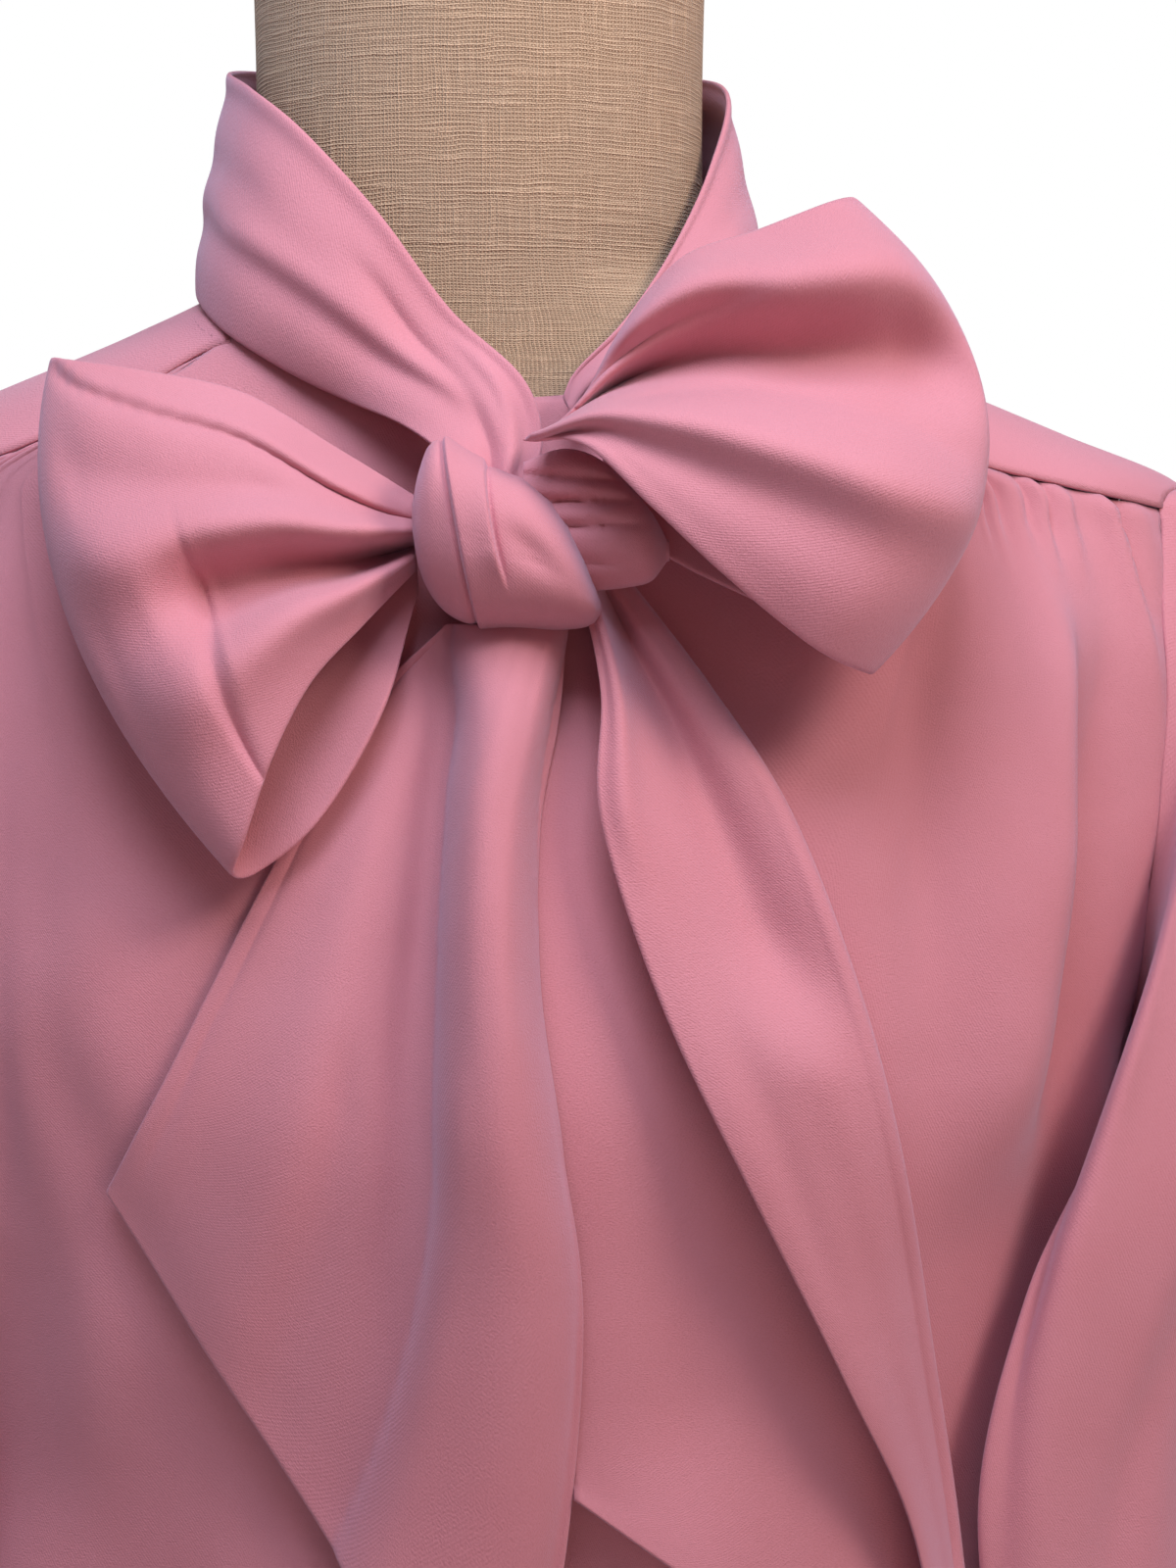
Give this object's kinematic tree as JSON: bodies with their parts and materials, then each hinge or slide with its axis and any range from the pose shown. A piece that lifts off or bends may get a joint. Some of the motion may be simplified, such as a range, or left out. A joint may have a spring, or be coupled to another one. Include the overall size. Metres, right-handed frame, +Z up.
{
  "type": "tie neck blouse on a dress form",
  "caption": "Long-sleeved crepe blouse with a soft band collar tied in a bow at the throat, on a limbless linen dress form with a round base.",
  "frame": {"origin": "centre of the base's underside, where the stand meets the floor", "axes": "+Z up, the blouse faces -Y, +X to the right of a viewer in front"},
  "size_m": [0.451, 0.3, 0.915],
  "materials": {
    "crepe": "matte dusty pink crepe with a fine pebbled grain",
    "linen": "coarse beige linen, plain weave with slubs",
    "steel": "satin dark paint",
    "base_wood": "dark stained wood, satin varnish"
  },
  "bodies": {
    "root": {"form_torso": "linen", "stand_pole": "steel", "stand_base": "base_wood", "blouse_front": "crepe", "blouse_back": "crepe", "yoke": "crepe", "sleeve_left": "crepe", "sleeve_right": "crepe", "cuff_left": "crepe", "cuff_right": "crepe", "collar": "crepe", "bow_knot": "crepe", "bow_loop_left": "crepe", "bow_loop_right": "crepe", "tail_left": "crepe", "tail_right": "crepe"}
  },
  "joints": []
}
